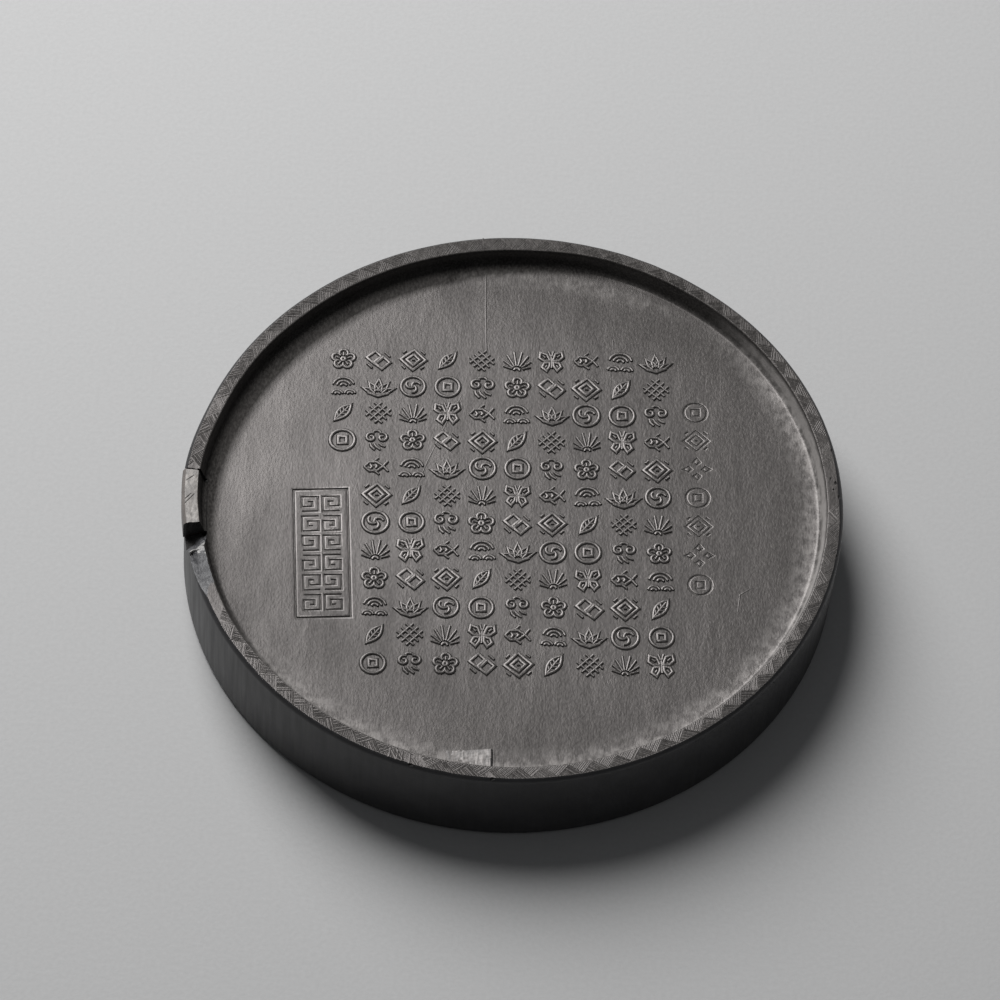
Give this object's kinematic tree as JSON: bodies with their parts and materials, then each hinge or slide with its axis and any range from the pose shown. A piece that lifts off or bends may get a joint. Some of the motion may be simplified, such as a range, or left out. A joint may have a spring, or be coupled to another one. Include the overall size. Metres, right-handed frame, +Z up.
{
  "type": "ink cake",
  "caption": "Round pressed ink cake with a sunk field and raised rim on both faces, a lacquered edge, a chip in the rim and a reset rim fragment.",
  "frame": {"origin": "under the middle of the cake, on the surface that it lies on", "axes": "+Z up through the faces, with the carved upper face up; +Y runs up the columns of the upper face, along the mould's grain; -X is the side with the chip and the reset fragment"},
  "size_m": [0.1289, 0.128, 0.02],
  "materials": {
    "pressed_ink": "dry matt pressed soot ink with fine wood-grain marks from the mould",
    "edge_lacquer": "smooth dark lacquer coat, worn satin",
    "reset_ink": "rubbed, slightly paler matt ink with scratches",
    "aged_glue": "thin brown aged adhesive"
  },
  "bodies": {
    "root": {"ink_body": "pressed_ink", "edge_coat": "edge_lacquer", "rim_fragment": "reset_ink", "fragment_coat": "edge_lacquer", "glue_film": "aged_glue"}
  },
  "joints": []
}
